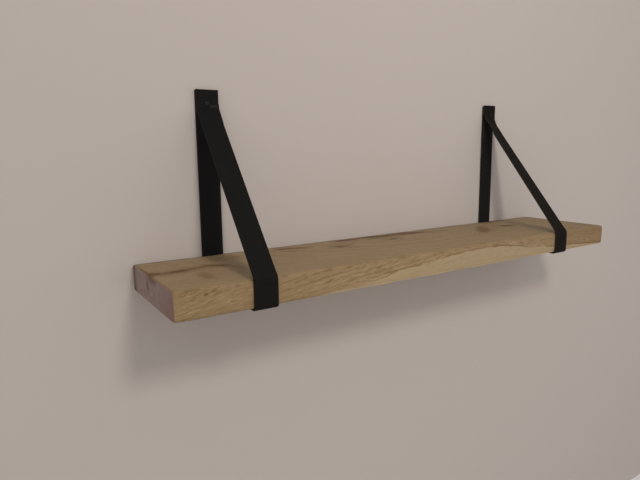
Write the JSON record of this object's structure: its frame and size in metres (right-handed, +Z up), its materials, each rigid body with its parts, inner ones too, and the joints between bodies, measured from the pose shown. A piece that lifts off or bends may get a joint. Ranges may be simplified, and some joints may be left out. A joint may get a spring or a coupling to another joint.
{
  "type": "hanging strap shelf",
  "caption": "Wall shelf: a thick oak plank hangs in leather strap loops, each folded back to the wall and held by a single screw.",
  "frame": {"origin": "on the wall plane, on the axis of the left wall plug, at its mouth", "axes": "+X to the right along the wall, +Y into the wall, +Z up; the shelf stands out from the wall towards -Y"},
  "size_m": [1, 0.2533, 0.3237],
  "materials": {
    "oak": "oiled oak with knots and open grain",
    "strap_leather": "matte black smooth leather with cut edges",
    "screw_steel": "black coated steel, satin",
    "plug_nylon": "moulded grey nylon"
  },
  "bodies": {
    "root": {"plank": "oak", "strap_left": "strap_leather", "strap_right": "strap_leather", "wall_screw_left": "screw_steel", "wall_screw_right": "screw_steel", "wall_plug_left": "plug_nylon", "wall_plug_right": "plug_nylon", "plank_screw_left": "screw_steel", "plank_screw_right": "screw_steel"}
  },
  "joints": []
}
